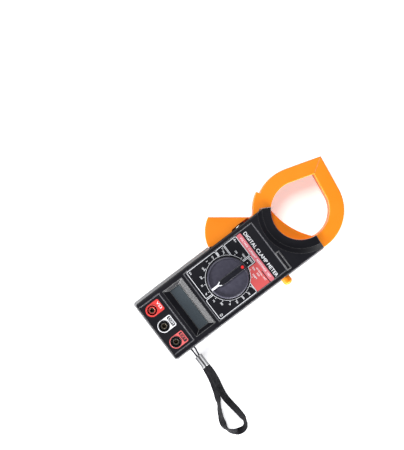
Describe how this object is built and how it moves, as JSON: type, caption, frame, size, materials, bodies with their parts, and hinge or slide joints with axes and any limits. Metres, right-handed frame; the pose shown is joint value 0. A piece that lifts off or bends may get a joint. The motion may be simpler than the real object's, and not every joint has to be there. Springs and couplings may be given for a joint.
{
  "type": "clamp meter",
  "caption": "Hand-held clamp meter with a sprung current jaw and trigger, rotary range switch, display, test sockets, hold button, battery cover and a wrist strap.",
  "frame": {"origin": "middle of the flat rear face of the case, meter lying on its back", "axes": "+X to the right seen from the front, +Y along the case towards the jaws, +Z out of the front face"},
  "size_m": [0.1911, 0.2373, 0.037],
  "materials": {
    "case_plastic": "satin, fine grain",
    "screw_steel": "plated",
    "dial_print": "printed film",
    "window_plastic": "clear",
    "lcd_glass": "grey display",
    "zebra_rubber": "matt",
    "knob_plastic": "satin",
    "inner_plastic": "matt",
    "brass": "plain",
    "steel": "plain",
    "jaw_plastic": "satin, fine grain",
    "core_iron": "laminated",
    "copper": "enamelled wire",
    "red_plastic": "gloss",
    "socket_black": "gloss",
    "board_green": "solder mask",
    "chip_black": "matt",
    "trimmer_blue": "plain",
    "resistor_body": "lacquer",
    "capacitor_sleeve": "sleeve",
    "thermistor": "lacquer",
    "battery_sleeve": "plain sleeve",
    "wire_red": "insulation",
    "wire_black": "insulation",
    "strap_cord": "twisted",
    "crimp_metal": "bright",
    "webbing": "woven"
  },
  "bodies": {
    "case": {"front_cover": "case_plastic", "rear_cover": "case_plastic", "case_screws": "screw_steel", "dial_label": "dial_print", "socket_label": "dial_print", "lcd_window": "window_plastic", "lcd_glass": "lcd_glass", "lcd_frame": "case_plastic", "zebra_strips": "zebra_rubber", "fixed_jaw_front_shell": "jaw_plastic", "fixed_jaw_rear_shell": "jaw_plastic", "fixed_jaw_core": "core_iron", "fixed_jaw_coil": "copper", "fixed_jaw_screws": "screw_steel", "jaw_pivot_pin": "steel", "pivot_washer": "steel", "jaw_spring": "steel", "socket_volt": "red_plastic", "socket_common": "socket_black", "socket_ext": "socket_black", "contact_volt": "brass", "contact_common": "brass", "contact_ext": "brass", "main_board": "board_green", "measuring_chip": "chip_black", "trimmers": "trimmer_blue", "resistors": "resistor_body", "capacitors": "capacitor_sleeve", "input_thermistor": "thermistor", "buzzer_disc": "brass", "hold_switch": "inner_plastic", "battery_9v": "battery_sleeve", "battery_snap": "inner_plastic", "battery_lead_red": "wire_red", "battery_lead_black": "wire_black", "coil_leads": "wire_red", "strap_cord": "strap_cord", "strap_crimp": "crimp_metal", "strap_webbing": "webbing"},
    "moving_jaw": {"moving_jaw_front_shell": "jaw_plastic", "moving_jaw_rear_shell": "jaw_plastic", "moving_jaw_core": "core_iron", "moving_jaw_coil": "copper", "moving_jaw_screws": "screw_steel"},
    "selector": {"selector_knob": "knob_plastic", "switch_rotor": "inner_plastic", "wiper_contacts": "brass", "detent_balls": "steel", "detent_springs": "steel"},
    "hold_button": {"hold_button": "jaw_plastic"},
    "battery_cover": {"battery_cover": "case_plastic", "battery_cover_screw": "screw_steel"}
  },
  "joints": [
    {"name": "jaw_open", "type": "hinge", "parent": "case", "child": "moving_jaw", "pos_m": [-0.0273, 0.0453, 0.0155], "axis": [0, 0, 1], "range_deg": [0, 28], "stiffness_Nm_per_rad": 0.9, "springref_deg": -17.19, "deforming": ["jaw_spring"]},
    {"name": "range_select", "type": "hinge", "parent": "case", "child": "selector", "pos_m": [0, 0.0082, 0.03], "axis": [0, 0, 1], "continuous": true},
    {"name": "hold_press", "type": "slide", "parent": "case", "child": "hold_button", "axis": [-1, 0, 0], "range_m": [0, 0.0012], "stiffness_N_per_m": 900},
    {"name": "battery_cover_off", "type": "slide", "parent": "case", "child": "battery_cover", "axis": [0, 0, -1], "range_m": [0, 0.03]}
  ]
}
